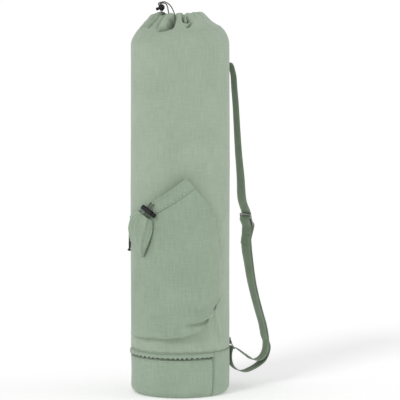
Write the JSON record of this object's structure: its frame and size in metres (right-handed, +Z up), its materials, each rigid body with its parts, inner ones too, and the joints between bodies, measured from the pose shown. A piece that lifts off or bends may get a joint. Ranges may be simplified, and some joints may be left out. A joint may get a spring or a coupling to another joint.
{
  "type": "yoga mat bag",
  "caption": "Tall drawstring cloth tube for a rolled yoga mat, with a cinched bottle pocket, a zipped wet compartment in its base and an adjustable webbing shoulder strap.",
  "frame": {"origin": "centre of the flat base, on the surface that it stands on", "axes": "+Z up the tube, -Y out of the front with the pocket, +X to the right as seen from the front"},
  "size_m": [0.2641, 0.2097, 0.7172],
  "materials": {
    "body_cloth": "matte woven cloth, sage green",
    "lower_cloth": "matte woven cloth, sage green",
    "pocket_cloth": "matte woven cloth, sage green",
    "webbing": "ribbed webbing, darker sage green",
    "zip_tape": "woven zip tape",
    "zip_teeth": "moulded coil",
    "cord": "round braided cord",
    "black_plastic": "satin moulded plastic",
    "dark_metal": "dark nickel plate"
  },
  "bodies": {
    "bag": {"main_body": "body_cloth", "divider_panel": "body_cloth", "wet_back_panel": "lower_cloth", "wet_front_panel": "lower_cloth", "zip_flap": "lower_cloth", "base_panel": "lower_cloth", "zip_tape": "zip_tape", "zip_chain": "zip_teeth", "zip_slider": "zip_teeth", "pocket_panel": "pocket_cloth", "pocket_hem": "pocket_cloth", "pocket_gather": "pocket_cloth", "shoulder_strap": "webbing", "ring_tab": "webbing", "strap_slider": "dark_metal", "strap_ring": "dark_metal", "pocket_cord_a": "cord", "pocket_cord_b": "cord", "pocket_cord_knot": "cord", "drawstring_a": "cord", "drawstring_b": "cord", "drawstring_knot": "cord", "pocket_cord_tip": "black_plastic", "pocket_lock_housing": "black_plastic", "top_lock_housing": "black_plastic"},
    "pocket_lock_button": {"pocket_lock_button": "black_plastic"},
    "top_lock_button": {"top_lock_button": "black_plastic"}
  },
  "joints": [
    {"name": "pocket_lock_press", "type": "slide", "parent": "bag", "child": "pocket_lock_button", "axis": [-0.7211, 0.4683, 0.5105], "range_m": [0, 0.0035], "stiffness_N_per_m": 300, "springref_m": -0.003},
    {"name": "top_lock_press", "type": "slide", "parent": "bag", "child": "top_lock_button", "axis": [0.9404, 0, 0.3401], "range_m": [0, 0.0024], "stiffness_N_per_m": 300, "springref_m": -0.003}
  ]
}
